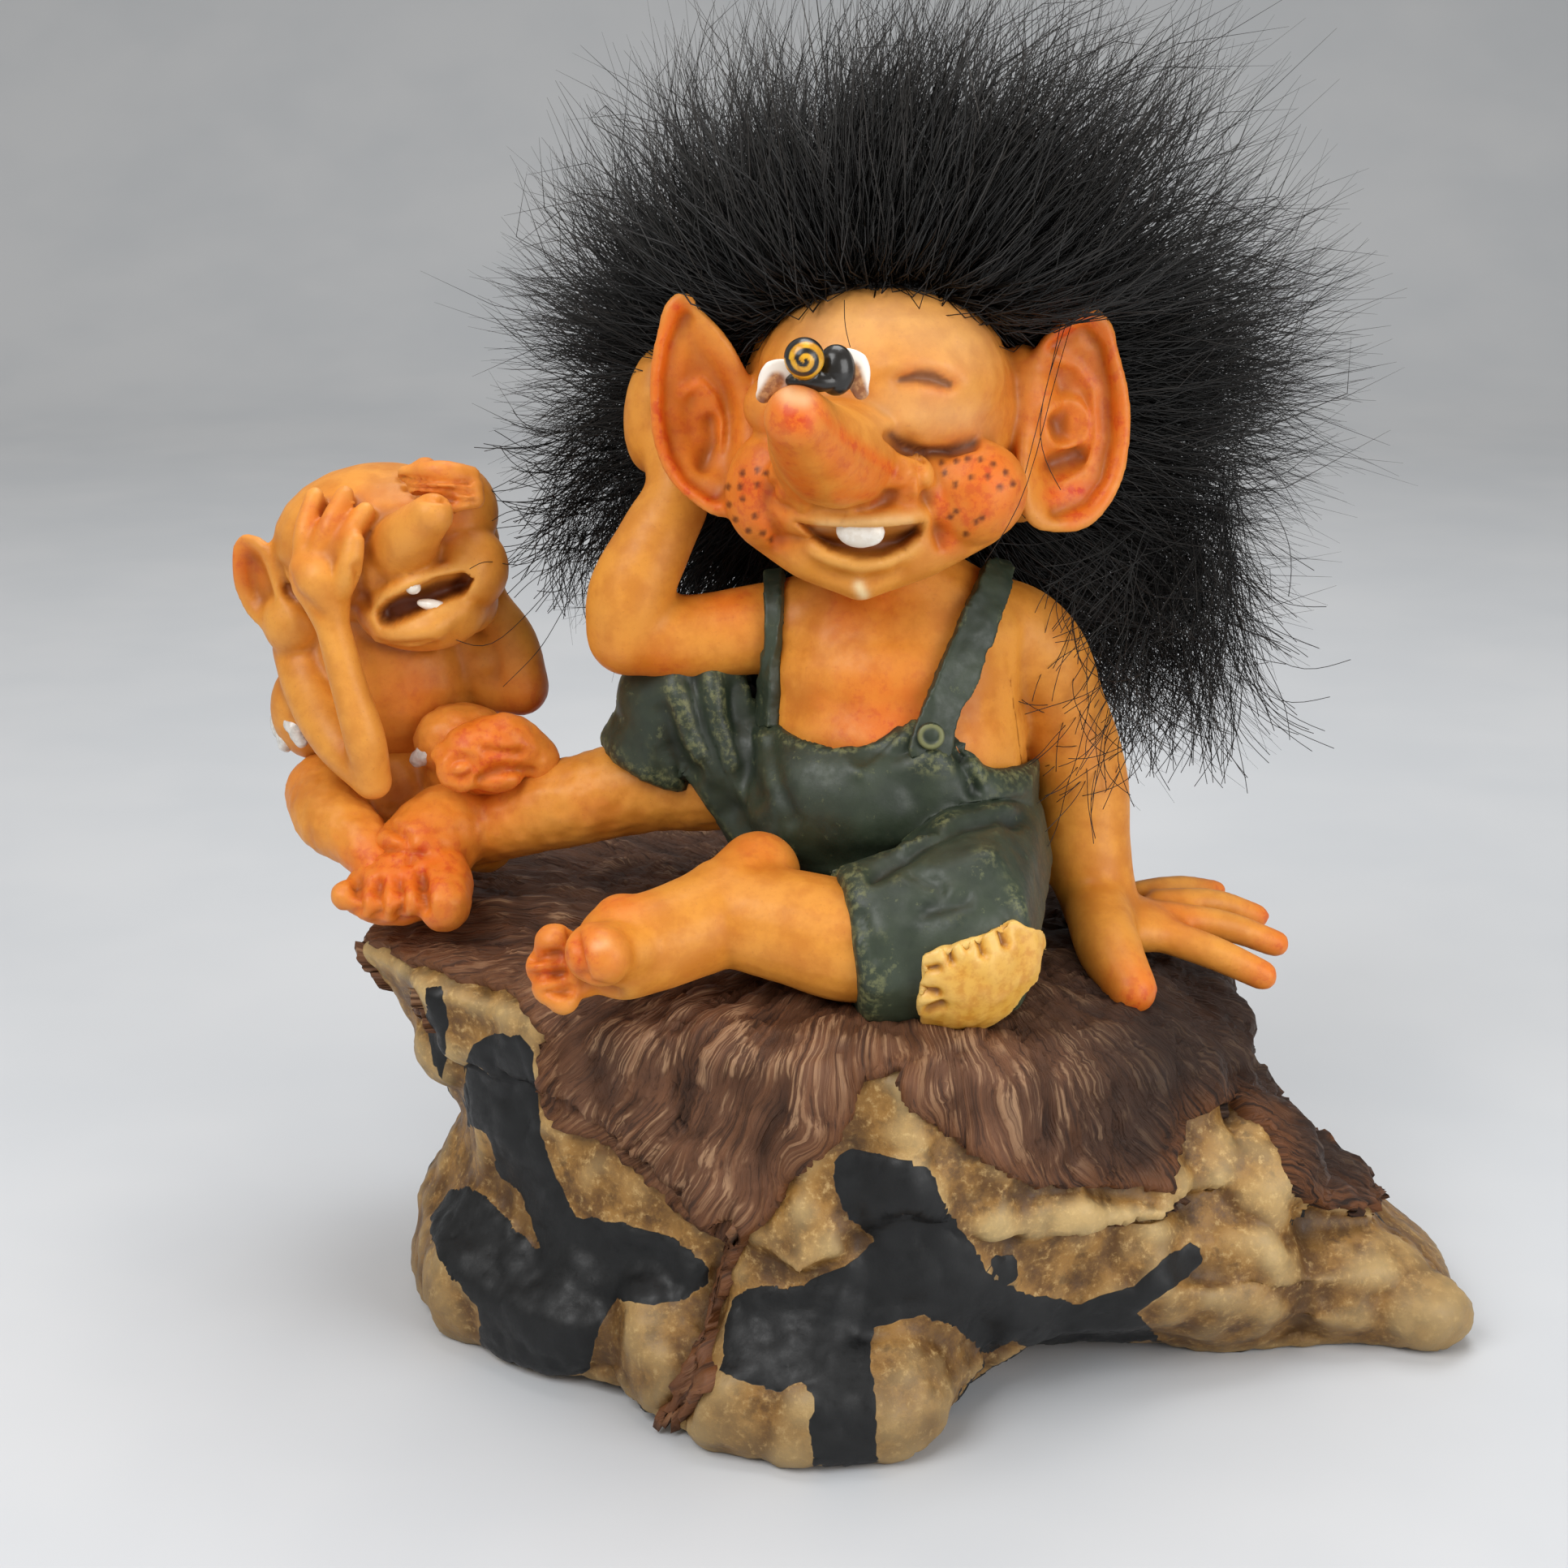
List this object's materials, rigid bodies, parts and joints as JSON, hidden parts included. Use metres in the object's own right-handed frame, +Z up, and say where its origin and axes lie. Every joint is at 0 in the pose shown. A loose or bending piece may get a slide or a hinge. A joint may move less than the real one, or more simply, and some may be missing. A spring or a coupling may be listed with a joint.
{
  "type": "folk troll figure",
  "caption": "Seated barefoot folk troll in dungarees with wild fur hair, a bee on its nose and a little troll beside it, on a rock with a bark top.",
  "frame": {"origin": "on the ground under the middle of the figure, on the flat floor of the rock", "axes": "+Z up, +X to the viewer's right, +Y away from the viewer"},
  "size_m": [0.123, 0.0766, 0.1312],
  "materials": {
    "painted_rock": "varnished cast resin",
    "painted_bark": "dry-brushed cast resin",
    "painted_skin": "washed satin cast resin",
    "painted_cloth": "satin cast resin",
    "painted_patch": "satin cast resin",
    "painted_tooth": "glossy paint",
    "painted_bee": "glossy paint",
    "painted_wing": "glossy paint",
    "hide": "tanned black",
    "fur": "long dyed fur"
  },
  "bodies": {
    "root": {"rock_base": "painted_rock", "bark_cap": "painted_bark", "torso": "painted_skin", "dungarees": "painted_cloth", "left_brace": "painted_cloth", "right_brace": "painted_cloth", "brace_button": "painted_cloth", "knee_patch": "painted_patch", "raised_leg": "painted_skin", "folded_leg": "painted_skin", "propping_arm": "painted_skin", "resting_arm": "painted_skin", "head": "painted_skin", "front_tooth": "painted_tooth", "wig_hide": "hide", "fur": "fur", "bee_body": "painted_bee", "bee_wing_left": "painted_wing", "bee_wing_right": "painted_wing", "little_legs": "painted_skin", "little_body": "painted_skin", "little_tooth": "painted_tooth"}
  },
  "joints": []
}
